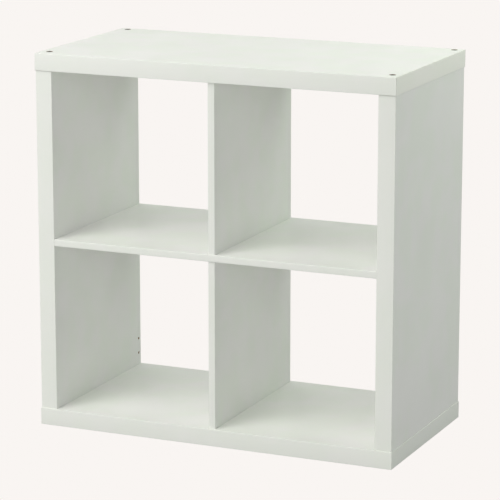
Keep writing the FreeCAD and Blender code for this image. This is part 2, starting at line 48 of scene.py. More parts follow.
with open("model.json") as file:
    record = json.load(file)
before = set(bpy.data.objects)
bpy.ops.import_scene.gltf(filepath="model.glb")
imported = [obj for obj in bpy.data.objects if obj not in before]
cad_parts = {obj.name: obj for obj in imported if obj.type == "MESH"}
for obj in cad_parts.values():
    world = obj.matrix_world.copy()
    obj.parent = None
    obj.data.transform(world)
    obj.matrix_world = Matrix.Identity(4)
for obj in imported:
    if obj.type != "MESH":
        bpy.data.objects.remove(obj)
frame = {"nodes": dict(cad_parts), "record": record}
nodes = frame["nodes"]
cad_low, cad_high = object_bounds()


# ---- Rails and blocks ---------------------------------------------------------------------------
# Every thick panel has a frame of raw particleboard between its skins: rails along its two long
# edges and blocks between them. They are sawn from 29 mm board, glued to the skins, and drilled
# for the screws and dowels.


def add_node(tree, kind, **inputs):
    """A shader node of one kind, with inputs set by name (an underscore stands for a space)."""
    node = tree.nodes.new(kind)
    for name, value in inputs.items():
        node.inputs[name.replace("_", " ")].default_value = value
    return node


def combine(tree, operation, first, second):
    """The value of a maths operation on two sockets or numbers."""
    node = tree.nodes.new("ShaderNodeMath")
    node.operation = operation
    for socket, value in zip(node.inputs, (first, second)):
        if isinstance(value, (int, float)):
            socket.default_value = value
        else:
            tree.links.new(value, socket)
    return node.outputs["Value"]


def ramp(tree, value, start, end):
    """A value stretched so that start becomes 0 and end becomes 1, and cut off there."""
    node = add_node(tree, "ShaderNodeMapRange")
    node.inputs["From Min"].default_value = start
    node.inputs["From Max"].default_value = end
    tree.links.new(value, node.inputs["Value"])
    return node.outputs["Result"]


def blend_colours(tree, share, first, second):
    """Colour between first and second: a share of 0 gives the first and 1 the second."""
    node = tree.nodes.new("ShaderNodeMix")
    node.data_type = "RGBA"
    inputs = [socket for socket in node.inputs if socket.enabled]
    for socket, value in zip(inputs, (share, first, second)):
        if isinstance(value, bpy.types.NodeSocket):
            tree.links.new(value, socket)
        elif isinstance(value, (int, float)):
            socket.default_value = value
        else:
            socket.default_value = (*value, 1.0)
    return next(socket for socket in node.outputs if socket.enabled)


def stretched_place(tree, scale):
    """Object coordinates, in metres, multiplied along X, Y and Z."""
    place = tree.nodes.new("ShaderNodeTexCoord")
    mapping = add_node(tree, "ShaderNodeMapping", Scale=scale)
    tree.links.new(place.outputs["Object"], mapping.inputs["Vector"])
    return mapping.outputs["Vector"]


def noise(tree, place, size, detail=2.0):
    """Soft noise from 0 to 1 whose blobs are about size metres across, with detail finer octaves."""
    node = add_node(tree, "ShaderNodeTexNoise", Scale=1.0 / size, Detail=detail)
    tree.links.new(place, node.inputs["Vector"])
    return node.outputs["Fac"]


def cells(tree, place, size):
    """A cellular pattern whose cells are about size metres across."""
    node = add_node(tree, "ShaderNodeTexVoronoi", Scale=1.0 / size)
    tree.links.new(place, node.inputs["Vector"])
    return node


def new_group(name, inputs, outputs):
    """An empty node group with named sockets, and its inner input and output nodes."""
    group = bpy.data.node_groups.new(name, "ShaderNodeTree")
    for in_out, sockets in (("INPUT", inputs), ("OUTPUT", outputs)):
        for socket_name, kind, *default in sockets:
            socket_type = f"NodeSocket{kind}"
            socket = group.interface.new_socket(socket_name, in_out=in_out, socket_type=socket_type)
            if default:
                socket.default_value = default[0]
    return group, group.nodes.new("NodeGroupInput"), group.nodes.new("NodeGroupOutput")


def place_group(tree, group, **inputs):
    """A node group placed in a material with its own values."""
    node = tree.nodes.new("ShaderNodeGroup")
    node.node_tree = group
    for name, value in inputs.items():
        node.inputs[name.replace("_", " ")].default_value = value
    return node


def new_material(name, **shader_inputs):
    """A material with one Principled shader, whose constant inputs are set by name."""
    material = bpy.data.materials.new(name)
    material.use_nodes = True
    tree = material.node_tree
    shader = tree.nodes["Principled BSDF"]
    for input_name, value in shader_inputs.items():
        shader.inputs[input_name.replace("_", " ")].default_value = value
    return material, tree, shader


def add_bump(tree, shader, height, depth):
    """Relief on a shader: height runs from 0 to 1 and depth is its size in metres."""
    bump = add_node(tree, "ShaderNodeBump", Distance=depth)
    tree.links.new(height, bump.inputs["Height"])
    tree.links.new(bump.outputs["Normal"], shader.inputs["Normal"])


def dress(node, material):
    """Give a CAD node its finish."""
    for slot in nodes[node].material_slots:
        slot.material = material


CHIP_LIGHT = (0.62, 0.45, 0.27)
CHIP_DARK = (0.33, 0.21, 0.11)
FLAKE_STRETCH = (1.0, 0.45, 1.6)
UNSTRETCHED = (1.0, 1.0, 1.0)


def chip_group():
    """Pressed wood chips: long light flakes in finer, darker dust, with a pit between flakes."""
    group, given, result = new_group(
        "wood chips",
        (("Light", "Color", (*CHIP_LIGHT, 1.0)), ("Dark", "Color", (*CHIP_DARK, 1.0))),
        (("Colour", "Color"), ("Height", "Float")))
    flakes = cells(group, stretched_place(group, FLAKE_STRETCH), size=0.0042)
    speckle = cells(group, stretched_place(group, UNSTRETCHED), size=0.0011)
    tone = group.nodes.new("ShaderNodeSeparateColor")
    group.links.new(flakes.outputs["Color"], tone.inputs["Color"])
    fine = group.nodes.new("ShaderNodeSeparateColor")
    group.links.new(speckle.outputs["Color"], fine.inputs["Color"])
    share = combine(group, "MULTIPLY", tone.outputs["Red"], 0.55)
    share = combine(group, "ADD", share, combine(group, "MULTIPLY", fine.outputs["Green"], 0.35))
    colour = blend_colours(group, share, given.outputs["Light"], given.outputs["Dark"])
    pit = ramp(group, flakes.outputs["Distance"], start=0.75, end=0.25)
    group.links.new(colour, result.inputs["Colour"])
    group.links.new(pit, result.inputs["Height"])
    return group


wood_chips = chip_group()


def particleboard_material():
    """Raw particleboard, as sawn."""
    material, tree, shader = new_material("raw particleboard", Roughness=0.85)
    chips = place_group(tree, wood_chips)
    tree.links.new(chips.outputs["Colour"], shader.inputs["Base Color"])
    add_bump(tree, shader, chips.outputs["Height"], depth=0.0002)
    return material


particleboard = particleboard_material()
for name in nodes:
    if name.endswith(("_rail", "_block")):
        dress(name, particleboard)


# ---- Honeycomb cores ----------------------------------------------------------------------------
# Between the rails and blocks, the panels are filled with paper honeycomb: strips of brown kraft
# paper glued in lines and pulled open, then glued edge-on between the skins.

KRAFT_DARK = (0.36, 0.24, 0.13)
KRAFT_LIGHT = (0.62, 0.46, 0.29)
FIBRE_STRETCH = (1.0, 1.0, 6.0)


def kraft_material():
    """Brown kraft paper, with long pulp fibres and a slight streak across the strip."""
    material, tree, shader = new_material("kraft paper", Roughness=0.9)
    fibres = noise(tree, stretched_place(tree, FIBRE_STRETCH), size=0.0012, detail=4.0)
    cloud = noise(tree, stretched_place(tree, UNSTRETCHED), size=0.02)
    share = combine(tree, "MULTIPLY", fibres, 0.7)
    share = combine(tree, "ADD", share, combine(tree, "MULTIPLY", cloud, 0.3))
    colour = blend_colours(tree, share, KRAFT_DARK, KRAFT_LIGHT)
    tree.links.new(colour, shader.inputs["Base Color"])
    add_bump(tree, shader, fibres, depth=0.00005)
    return material


kraft_paper = kraft_material()
for name in nodes:
    if name.endswith("_core"):
        dress(name, kraft_paper)


# ---- Skins --------------------------------------------------------------------------------------
# Each thick panel is faced on both sides with 3 mm fibreboard, painted white and satin on the
# outside and left raw and brown on the glued side. The holes for screws, dowels and bracket are
# drilled through after painting, so their walls and slightly eased rims are raw.

WHITE = (0.868, 0.876, 0.848)
CLOUD_GREY = (0.30, 0.29, 0.25)
CLOUD_GREEN = (0.66, 0.86, 0.58)
FIBREBOARD_DARK = (0.24, 0.14, 0.07)
FIBREBOARD_LIGHT = (0.48, 0.32, 0.18)
SKIN_EDGE_EASE = 0.00015
HOLE_RIM_EASE = 0.00025
HOLE_MARGIN = 0.0045
HOLE_STEPS = 12
RIM_STEPS = 3
MERGE_STEPS = 1e6
SMOOTH_BELOW = math.radians(35)


def grid_quads(rows, columns, closed=False):
    """Quads of a grid of points kept row by row; they face (along the row) x (to the next row)."""
    index = np.arange(rows * columns).reshape(rows, columns)
    if closed:
        index = np.column_stack([index, index[:, 0]])
    quads = np.stack([index[:-1, :-1], index[:-1, 1:], index[1:, 1:], index[1:, :-1]], axis=-1)
    return quads.reshape(-1, 4)


def weld(patches):
    """Patches (points, quads, finish) joined into one skin, merging points that meet.

    Points meet where they are the same to a thousandth of a millimetre. A quad with two corners
    that meet, as at a pole, becomes a triangle."""
    counts = np.cumsum([0] + [len(points) for points, _, _ in patches])
    points = np.vstack([points for points, _, _ in patches])
    quads = np.vstack([quads + start for (_, quads, _), start in zip(patches, counts)])
    finish = np.concatenate([np.full(len(quads), finish) for _, quads, finish in patches])
    rounded = np.round(points * MERGE_STEPS).astype(np.int64)
    _, first, merged = np.unique(rounded, axis=0, return_index=True, return_inverse=True)
    quads = merged.reshape(-1)[quads]
    same = quads == np.roll(quads, -1, axis=1)
    whole = ~same.any(axis=1)
    faces = quads[whole].tolist()
    finishes = finish[whole].tolist()
    for corner in range(4):
        pinched = same[:, corner] & (same.sum(axis=1) == 1)
        faces += np.delete(quads[pinched], corner, axis=1).tolist()
        finishes += finish[pinched].tolist()
    return points[first], faces, finishes


def make_piece(name, patches, materials):
    """A piece of the unit: one object with its place in its mesh, standing for a CAD node."""
    points, faces, finishes = weld(patches)
    mesh = bpy.data.meshes.new(name)
    mesh.from_pydata(points.tolist(), [], faces)
    for material in materials:
        mesh.materials.append(material)
    mesh.polygons.foreach_set("material_index", finishes)
    mesh.polygons.foreach_set("use_smooth", np.ones(len(faces), bool))
    mesh.set_sharp_from_angle(angle=SMOOTH_BELOW)
    mesh.update()
    piece = bpy.data.objects.new(f"{name}_piece", mesh)
    bpy.context.scene.collection.objects.link(piece)
    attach(piece, "root")
    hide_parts(name)
    return piece


def hole_patches(centre, radius, thickness, half_square):
    """A drilled hole in the square round it, as a profile turned about the hole's axis.

    The profile runs over the face from the square to the rim, round the eased rim as a quarter
    circle, down the wall, and back over the hidden face to the square. The square's radius at
    angle a is half its side over the larger of |cos a| and |sin a|."""
    angle = np.radians(45) + np.linspace(0, 2 * np.pi, 4 * HOLE_STEPS, endpoint=False)
    square = half_square / np.maximum(abs(np.cos(angle)), abs(np.sin(angle)))
    turn = np.linspace(0, np.pi / 2, RIM_STEPS + 1)
    rim_radius = radius + HOLE_RIM_EASE * (1 - np.sin(turn))
    rim_height = -HOLE_RIM_EASE * (1 - np.cos(turn))
    face = np.vstack([square, np.repeat(rim_radius[:, None], len(angle), axis=1)])
    face_height = np.concatenate([[0.0], rim_height])
    wall = np.vstack([np.full((2, len(angle)), radius), square])
    wall_height = np.array([-HOLE_RIM_EASE, -thickness, -thickness])
    face_finish = np.repeat([0] + [1] * RIM_STEPS, len(angle))
    patches = []
    for reach, height, finish in ((face, face_height, face_finish), (wall, wall_height, 1)):
        points = np.stack([centre[0] + reach * np.cos(angle), centre[1] + reach * np.sin(angle),
                           np.repeat(height[:, None], len(angle), axis=1)], axis=-1)
        quads = grid_quads(len(height), len(angle), closed=True)
        patches.append((points.reshape(-1, 3), quads, finish))
    return patches


def plate_patches(low, high, thickness, holes):
    """A flat plate with its painted face at height 0, eased at its edges and drilled.

    The face is a grid of lines along both sides. Round each hole the lines stand at the tangents
    of even angles, so that they meet the hole's own patch point for point, and the squares
    round the holes are left out."""
    half_square = HOLE_MARGIN + max((radius for _, radius in holes), default=0.0)
    fan = half_square * np.tan(np.radians(np.linspace(-45, 45, HOLE_STEPS + 1)))
    lines = []
    for axis in (0, 1):
        ends = [low[axis], low[axis] + SKIN_EDGE_EASE, high[axis] - SKIN_EDGE_EASE, high[axis]]
        spans = [centre[axis] + fan for centre, _ in holes]
        lines.append(np.unique(np.round(np.concatenate([ends, *spans]), 9)))
    across, along = lines
    grid = np.stack(np.meshgrid(across, along), axis=-1)
    edge = ((grid == low) | (grid == high)).any(axis=-1)
    face = np.concatenate([grid, np.where(edge, -SKIN_EDGE_EASE, 0.0)[..., None]], axis=-1)
    back = np.concatenate([grid, np.full(grid.shape[:2] + (1,), -thickness)], axis=-1)
    middle = (grid[:-1, :-1] + grid[1:, 1:]) / 2
    kept = np.ones(middle.shape[:2], bool)
    for centre, _ in holes:
        kept &= abs(middle - np.array(centre)).max(axis=-1) > half_square
    quads = grid_quads(len(along), len(across))[kept.reshape(-1)]
    patches = [(face.reshape(-1, 3), quads, 0), (back.reshape(-1, 3), quads[:, ::-1], 1)]
    rim = [(row, slice(None)) for row in (0, -1)] + [(slice(None), column) for column in (0, -1)]
    for side, outward in zip(rim, (1, -1, -1, 1)):
        wall = np.stack([back[side], face[side]])
        quads = grid_quads(2, wall.shape[1])[:, ::outward]
        patches.append((wall.reshape(-1, 3), quads, 1))
    for centre, radius in holes:
        patches += hole_patches(centre, radius, thickness, half_square)
    return patches


def move_patches(patches, axes, origin):
    """Patches laid with their own axes along three directions of the unit, from an origin."""
    return [(points @ np.array(axes, float) + np.array(origin), quads, finish)
            for points, quads, finish in patches]


def satin_group():
    """Satin white surface: faint clouds of tone and of a green tint, specks, orange peel, waves.

    Cloud is how far the clouds go, Smear how far the roughness wanders from Gloss, and Peel how
    deep the orange peel is."""
    group, given, result = new_group(
        "satin white",
        (("Colour", "Color", (*WHITE, 1.0)), ("Gloss", "Float", 0.4), ("Smear", "Float", 0.16),
         ("Cloud", "Float", 0.02), ("Peel", "Float", 0.5)),
        (("Colour", "Color"), ("Roughness", "Float"), ("Height", "Float")))
    place = stretched_place(group, UNSTRETCHED)
    cloud = combine(group, "SUBTRACT", noise(group, place, size=0.16, detail=3.0), 0.5)
    speck = ramp(group, cells(group, place, size=0.012).outputs["Distance"], start=0.035, end=0.02)
    darker = combine(group, "MULTIPLY", cloud, given.outputs["Cloud"])
    darker = combine(group, "ADD", combine(group, "MULTIPLY", speck, 0.05), darker)
    share = combine(group, "ADD", darker, 0.02)
    colour = blend_colours(group, share, given.outputs["Colour"], CLOUD_GREY)
    tint = ramp(group, noise(group, place, size=0.07, detail=3.0), start=0.4, end=0.6)
    tint = combine(group, "SUBTRACT", tint, 0.5)
    tint = combine(group, "MULTIPLY", tint, given.outputs["Cloud"])
    colour = blend_colours(group, combine(group, "ADD", tint, 0.06), colour, CLOUD_GREEN)
    smear = combine(group, "SUBTRACT", noise(group, place, size=0.045, detail=4.0), 0.5)
    smear = combine(group, "MULTIPLY", smear, given.outputs["Smear"])
    roughness = combine(group, "ADD", given.outputs["Gloss"], smear)
    peel = noise(group, place, size=0.0013, detail=1.0)
    peel = combine(group, "MULTIPLY", peel, given.outputs["Peel"])
    wave = combine(group, "MULTIPLY", noise(group, place, size=0.024, detail=0.0), 0.5)
    height = combine(group, "ADD", wave, combine(group, "MULTIPLY", peel, 0.12))
    group.links.new(colour, result.inputs["Colour"])
    group.links.new(roughness, result.inputs["Roughness"])
    group.links.new(height, result.inputs["Height"])
    return group


satin_white = satin_group()


def lay_satin(tree, shader, depth, **values):
    """The satin surface's gloss and relief on a shader; returns its colour, which isn't linked yet."""
    satin = place_group(tree, satin_white, **values)
    tree.links.new(satin.outputs["Roughness"], shader.inputs["Roughness"])
    add_bump(tree, shader, satin.outputs["Height"], depth)
    return satin.outputs["Colour"]


def painted_material():
    """White satin paint on fibreboard."""
    material, tree, shader = new_material("white satin paint")
    colour = lay_satin(tree, shader, depth=0.0001, Gloss=0.38, Cloud=0.12, Peel=1.0)
    tree.links.new(colour, shader.inputs["Base Color"])
    return material


def fibreboard_material():
    """Raw fibreboard: fine brown felted fibres."""
    material, tree, shader = new_material("raw fibreboard", Roughness=0.8)
    fibres = noise(tree, stretched_place(tree, UNSTRETCHED), size=0.0009, detail=5.0)
    colour = blend_colours(tree, fibres, FIBREBOARD_DARK, FIBREBOARD_LIGHT)
    tree.links.new(colour, shader.inputs["Base Color"])
    add_bump(tree, shader, fibres, depth=0.00006)
    return material


painted = painted_material()
raw_fibreboard = fibreboard_material()
SKIN_FINISHES = (painted, raw_fibreboard)

HEAD_HOLE = 0.0065
SHANK_HOLE = 0.0037
DOWEL_HOLE = 0.004
PILOT_HOLE = 0.0025
HEAD_RADIUS = 0.0061

screw_low, screw_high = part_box("top_screws")
screw_x = (screw_high.x - screw_low.x) / 2 - HEAD_RADIUS
screw_front = screw_low.y + HEAD_RADIUS
screw_rear = screw_high.y - HEAD_RADIUS
corner_dowel_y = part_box("corner_dowels")[1].y - DOWEL_HOLE
divider_dowel_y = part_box("divider_dowels")[1].y - DOWEL_HOLE
shelf_dowel_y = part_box("shelf_dowels")[1].y - DOWEL_HOLE
middle_height = (cad_low.z + cad_high.z) / 2

screw_places = [(x, y) for x in (-screw_x, screw_x) for y in (screw_front, screw_rear)]
corner_dowel_places = [(x, y) for x in (-screw_x, screw_x) for y in (-corner_dowel_y, corner_dowel_y)]
divider_dowel_places = [(0.0, -divider_dowel_y), (0.0, divider_dowel_y)]


def flat_skin(name, faces_up, holes):
    """A skin of the top or bottom panel, from its CAD box; holes are (x, y, radius)."""
    low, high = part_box(name)
    sign = 1 if faces_up else -1
    axes = ((1, 0, 0), (0, sign, 0), (0, 0, sign))
    drilled = [((x, sign * y), radius) for x, y, radius in holes]
    patches = plate_patches((low.x, low.y), (high.x, high.y), high.z - low.z, drilled)
    origin = (0, 0, high.z if faces_up else low.z)
    make_piece(name, move_patches(patches, axes, origin), SKIN_FINISHES)


for panel, up in (("top", True), ("bottom", False)):
    heads = [(x, y, HEAD_HOLE) for x, y in screw_places]
    flat_skin(f"{panel}_outer_skin", up, heads)
    shanks = [(x, y, SHANK_HOLE) for x, y in screw_places]
    pegs = [(x, y, DOWEL_HOLE) for x, y in corner_dowel_places + divider_dowel_places]
    flat_skin(f"{panel}_inner_skin", not up, shanks + pegs)


def side_skin(name, faces_right, holes):
    """A skin of a side panel, from its CAD box; holes are (y, z, radius)."""
    low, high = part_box(name)
    sign = 1 if faces_right else -1
    axes = ((0, sign, 0), (0, 0, 1), (sign, 0, 0))
    drilled = [((sign * y, z), radius) for y, z, radius in holes]
    patches = plate_patches((low.y, low.z), (high.y, high.z), high.x - low.x, drilled)
    origin = (high.x if faces_right else low.x, 0, 0)
    make_piece(name, move_patches(patches, axes, origin), SKIN_FINISHES)


mounts = {mount["name"]: mount for mount in frame["record"]["mounts"]}
for panel, sign, mount_name in (("left_side", -1, "left_bracket_holes"),
                                ("right_side", 1, "right_bracket_holes")):
    side_skin(f"{panel}_outer_skin", sign > 0, [])
    holes = [(y, middle_height, DOWEL_HOLE) for y in (-shelf_dowel_y, shelf_dowel_y)]
    _, pilot_y, pilot_middle = mounts[mount_name]["pos_m"]
    half_pitch = mounts[mount_name]["dims"]["spacing_y_mm"] / 1000 / 2
    holes += [(pilot_y, pilot_middle + step, PILOT_HOLE) for step in (-half_pitch, half_pitch)]
    side_skin(f"{panel}_inner_skin", sign < 0, holes)


# ---- Edge bands ---------------------------------------------------------------------------------
# The raw edges of the panels, shelf and dividers carry 1 mm white plastic band, glued on and
# rounded at its two outer corners. On the top, the short bands are given a paler white as painted
# light, so that they read brighter than the skins under them, and the sawn ends of the long ones are
# painted grey as a painted shadow line at the corners. The upright bands stop a hair under the
# panel above them.

BAND_WHITE = (0.871, 0.886, 0.840)
# Painted light: a paler white for the top's short bands, so that they read brighter than the skins.
PAINTED_LIGHT_BAND_WHITE = (0.965, 0.965, 0.91)
# Painted shade: the grey of the top's long band ends draws a shadow line at the top's corners.
CUT_END_SHADE_DARK = (0.20, 0.19, 0.16)
CUT_END_SHADE_LIGHT = (0.45, 0.43, 0.38)
BAND_ROUNDING = 0.0009
BAND_ROUND_STEPS = 6
BAND_INNER_EASE = 0.0001
BAND_END_EASE = 0.0002
UPRIGHT_GAP = 0.00045
FACE_FINISH = 0
END_FINISH = 1


def band_patches(depth, width, length):
    """A band's section carried along its length.

    The section stands on the glued side at 0, reaches out by depth, and is width across: its two
    outer corners are quarter circles and its two inner ones are cut off by a hair. At each end
    the section draws in by a hair before it closes on its middle."""
    turn = np.linspace(0, np.pi / 2, BAND_ROUND_STEPS + 1)
    curve_out = depth - BAND_ROUNDING * (1 - np.cos(turn))
    curve_up = width / 2 - BAND_ROUNDING * (1 - np.sin(turn))
    ease = BAND_INNER_EASE
    out = np.concatenate([curve_out, [ease, 0.0]])
    up = np.concatenate([curve_up, [width / 2, width / 2 - ease]])
    whole_out = np.concatenate([out[::-1], out])
    section = np.stack([whole_out, np.concatenate([-up[::-1], up])], axis=-1)
    middle = np.array([depth / 2, 0.0])
    inset = np.array([1 - 2 * BAND_END_EASE / depth, 1 - 2 * BAND_END_EASE / width])
    drawn_in = middle + (section - middle) * inset
    closed = np.repeat(middle[None], len(section), axis=0)
    sections = np.stack([closed, drawn_in, section, section, drawn_in, closed])
    half = length / 2
    eased = half - BAND_END_EASE
    stations = np.array([-half, -half, -eased, eased, half, half])
    along = np.repeat(stations[:, None, None], len(section), axis=1)
    points = np.concatenate([sections, along], axis=-1).reshape(-1, 3)
    finish = np.repeat([END_FINISH, FACE_FINISH, FACE_FINISH, FACE_FINISH, END_FINISH], len(section))
    return [(points, grid_quads(len(stations), len(section), closed=True), finish)]


def band_material(name, colour):
    """White plastic edge band, a touch glossier than the paint."""
    material, tree, shader = new_material(name)
    colour = lay_satin(tree, shader, depth=0.00004, Colour=(*colour, 1.0),
                       Gloss=0.33, Smear=0.05, Cloud=0.06, Peel=0.4)
    tree.links.new(colour, shader.inputs["Base Color"])
    return material


def shaded_cut_end_material():
    """The sawn end of a band in flecked grey: painted shade, a shadow line where it meets the band
    beside it.
    """
    material, tree, shader = new_material("cut band end", Roughness=0.7)
    speckle = noise(tree, stretched_place(tree, UNSTRETCHED), size=0.003, detail=3.0)
    colour = blend_colours(tree, speckle, CUT_END_SHADE_DARK, CUT_END_SHADE_LIGHT)
    tree.links.new(colour, shader.inputs["Base Color"])
    add_bump(tree, shader, speckle, depth=0.00003)
    return material


edge_band = band_material("white edge band", BAND_WHITE)
painted_light_band = band_material("paler edge band", PAINTED_LIGHT_BAND_WHITE)
shaded_cut_end = shaded_cut_end_material()


def band(name, outward, face, end, gap):
    """An edge band from its CAD box; outward is the direction its face looks in.

    It has one finish on its length and one on its two ends. An upright one is cut short by a gap
    at its upper end."""
    low, high = (np.array(corner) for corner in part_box(name))
    size = high - low
    out_axis = int(np.argmax(np.abs(outward)))
    rest = [axis for axis in range(3) if axis != out_axis]
    long_axis = max(rest, key=lambda axis: size[axis])
    wide_axis = min(rest, key=lambda axis: size[axis])
    axes = np.zeros((3, 3))
    axes[0] = outward
    axes[1, wide_axis] = 1.0
    axes[2] = np.cross(axes[0], axes[1])
    glued_side = (low + high) / 2 - np.array(outward) * size[out_axis] / 2
    origin = glued_side - np.array([0, 0, gap / 2])
    patches = band_patches(size[out_axis], size[wide_axis], size[long_axis] - gap)
    make_piece(name, move_patches(patches, axes, origin), (face, end))


OUTWARD = {"front": (0, -1, 0), "rear": (0, 1, 0), "left": (-1, 0, 0), "right": (1, 0, 0)}
for name in sorted(nodes):
    if name.endswith("_band"):
        side = name.split("_")[-2]
        # Painted shade: the top's long bands end in grey, a painted shadow line at the top's corners.
        end = shaded_cut_end if name in ("top_front_band", "top_rear_band") else edge_band
        # Painted light: the top's short bands take the paler white, so that they read brighter than
        # the skin below.
        face = painted_light_band if name in ("top_left_band", "top_right_band") else edge_band
        gap = UPRIGHT_GAP if "side" in name or "divider" in name else 0.0
        band(name, OUTWARD[side], face, end, gap)


# ---- Shelf and dividers -------------------------------------------------------------------------
# One thin shelf runs from side to side, and a divider stands on it and another under it. They are
# solid particleboard wrapped in white foil on both faces, held only by dowels in their ends.

FOIL_THICKNESS = 0.0002
FOIL_FADE = 0.0001


def foil_board_material(name, axis, low, high):
    """White foil on the board's two faces, and bare wood chips on its ends and in its holes.

    A point is on a face where its distance from the middle is half the thickness."""
    material, tree, shader = new_material(name)
    white = lay_satin(tree, shader, depth=0.0001, Gloss=0.38, Cloud=0.12, Peel=0.8)
    chips = place_group(tree, wood_chips)
    place = tree.nodes.new("ShaderNodeTexCoord")
    split = tree.nodes.new("ShaderNodeSeparateXYZ")
    tree.links.new(place.outputs["Object"], split.inputs["Vector"])
    offset = combine(tree, "SUBTRACT", split.outputs[axis], (low + high) / 2)
    distance = combine(tree, "ABSOLUTE", offset, 0.0)
    inside = (high - low) / 2 - FOIL_THICKNESS
    foil = ramp(tree, distance, start=inside - FOIL_FADE, end=inside)
    colour = blend_colours(tree, foil, chips.outputs["Colour"], white)
    tree.links.new(colour, shader.inputs["Base Color"])
    return material


shelf_low, shelf_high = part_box("shelf_board")
dress("shelf_board", foil_board_material("white foil shelf", "Z", shelf_low.z, shelf_high.z))
divider_low, divider_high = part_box("upper_divider_board")
divider_foil = foil_board_material("white foil divider", "X", divider_low.x, divider_high.x)
dress("upper_divider_board", divider_foil)
dress("lower_divider_board", divider_foil)


# ---- Dowels -------------------------------------------------------------------------------------
# Fluted 8 mm beech dowels, chamfered at both ends, are glued half into one board and half into
# the next. The two longer ones go right through the shelf into both dividers.

DOWEL_FLUTES = 16
DOWEL_FLUTE_DEPTH = 0.00025
DOWEL_CHAMFER = 0.0008
BEECH_DARK = (0.58, 0.39, 0.23)
BEECH_LIGHT = (0.80, 0.62, 0.42)
BEECH_FLECK = (0.40, 0.24, 0.13)


def turned_patch(radius, height):
    """A surface turned about the Z axis, from rows of radii and heights given at every angle."""
    angle = np.linspace(0, 2 * np.pi, radius.shape[1], endpoint=False)
    points = np.stack([radius * np.cos(angle), radius * np.sin(angle), height], axis=-1)
    return points.reshape(-1, 3), grid_quads(*radius.shape, closed=True), 0


def dowel_patch(radius, length):
    """A dowel about the Z axis, centred on the origin.

    Its radius is the full one less a flute depth times the square of cos(flutes x angle / 2), and
    the flutes fade out on the chamfers."""
    angle = np.linspace(0, 2 * np.pi, 4 * DOWEL_FLUTES, endpoint=False)
    flute = DOWEL_FLUTE_DEPTH * np.cos(DOWEL_FLUTES * angle / 2) ** 2
    half = length / 2
    height = np.array([-half, -half, -half + DOWEL_CHAMFER, half - DOWEL_CHAMFER, half, half])
    reach = np.array([0.0, radius - DOWEL_CHAMFER, radius, radius, radius - DOWEL_CHAMFER, 0.0])
    fluted = np.array([0.0, 0.0, 1.0, 1.0, 0.0, 0.0])
    rows = reach[:, None] - fluted[:, None] * flute
    return turned_patch(rows, np.repeat(height[:, None], len(angle), axis=1))


def beech_material():
    """Raw beech: pale, with short dark flecks and a fine grain."""
    material, tree, shader = new_material("raw beech", Roughness=0.6)
    place = stretched_place(tree, UNSTRETCHED)
    grain = noise(tree, place, size=0.0011, detail=5.0)
    fleck = ramp(tree, cells(tree, place, size=0.0014).outputs["Distance"], start=0.18, end=0.08)
    wood = blend_colours(tree, grain, BEECH_DARK, BEECH_LIGHT)
    colour = blend_colours(tree, fleck, wood, BEECH_FLECK)
    tree.links.new(colour, shader.inputs["Base Color"])
    add_bump(tree, shader, grain, depth=0.00004)
    return material


beech = beech_material()
UPRIGHT = ((1, 0, 0), (0, 1, 0), (0, 0, 1))
LYING = ((0, 1, 0), (0, 0, 1), (1, 0, 0))


def dowels(name, centres, length, axes):
    """A group of dowels at their centres."""
    patches = []
    for centre in centres:
        patches += move_patches([dowel_patch(DOWEL_HOLE, length)], axes, centre)
    make_piece(name, patches, (beech,))


panel_faces = [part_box("bottom_inner_skin")[1].z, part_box("top_inner_skin")[0].z]
shelf_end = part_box("shelf_board")[1].x
dowel_length = 2 * (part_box("shelf_dowels")[1].x - shelf_end)
for name, places in (("corner_dowels", corner_dowel_places), ("divider_dowels", divider_dowel_places)):
    dowels(name, [(x, y, z) for x, y in places for z in panel_faces], dowel_length, UPRIGHT)
through_low, through_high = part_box("shelf_through_dowels")
through_centres = [(x, y, middle_height) for x, y in divider_dowel_places]
dowels("shelf_through_dowels", through_centres, through_high.z - through_low.z, UPRIGHT)
shelf_dowel_places = [(x, y) for x in (-shelf_end, shelf_end) for y in (-shelf_dowel_y, shelf_dowel_y)]
dowels("shelf_dowels", [(x, y, middle_height) for x, y in shelf_dowel_places], dowel_length, LYING)


# ---- Screws -------------------------------------------------------------------------------------
# Four long panel screws hold the top down on the side panels, and four more come up through the
# bottom. They are steel with a black coating: a round head sunk just under the skin, with a socket
# for a hexagonal key, a plain shank through the panel, and a coarse thread in the side's rails.

SCREW_LENGTH = 0.070
HEAD_HEIGHT = 0.0027
HEAD_EASE = 0.0004
SHANK_RADIUS = 0.0035
SHANK_LENGTH = 0.036
ROOT_RADIUS = 0.0025
TIP_RADIUS = 0.3 * ROOT_RADIUS
TIP_LENGTH = 0.003
THREAD_PITCH = 0.003
THREAD_RIDGE = 0.4
THREAD_NECK = 0.0002
SOCKET_FLATS = 0.005
SOCKET_DEPTH = 0.0035
SOCKET_CHAMFER = 0.00025
SOCKET_CONE = 0.0008
COATING_DARK = (0.012, 0.012, 0.013)
COATING_LIGHT = (0.03, 0.03, 0.031)
TURNING_STRETCH = (1.0, 1.0, 12.0)
SCREW_ANGLES = 48
ROWS_PER_TURN = 16


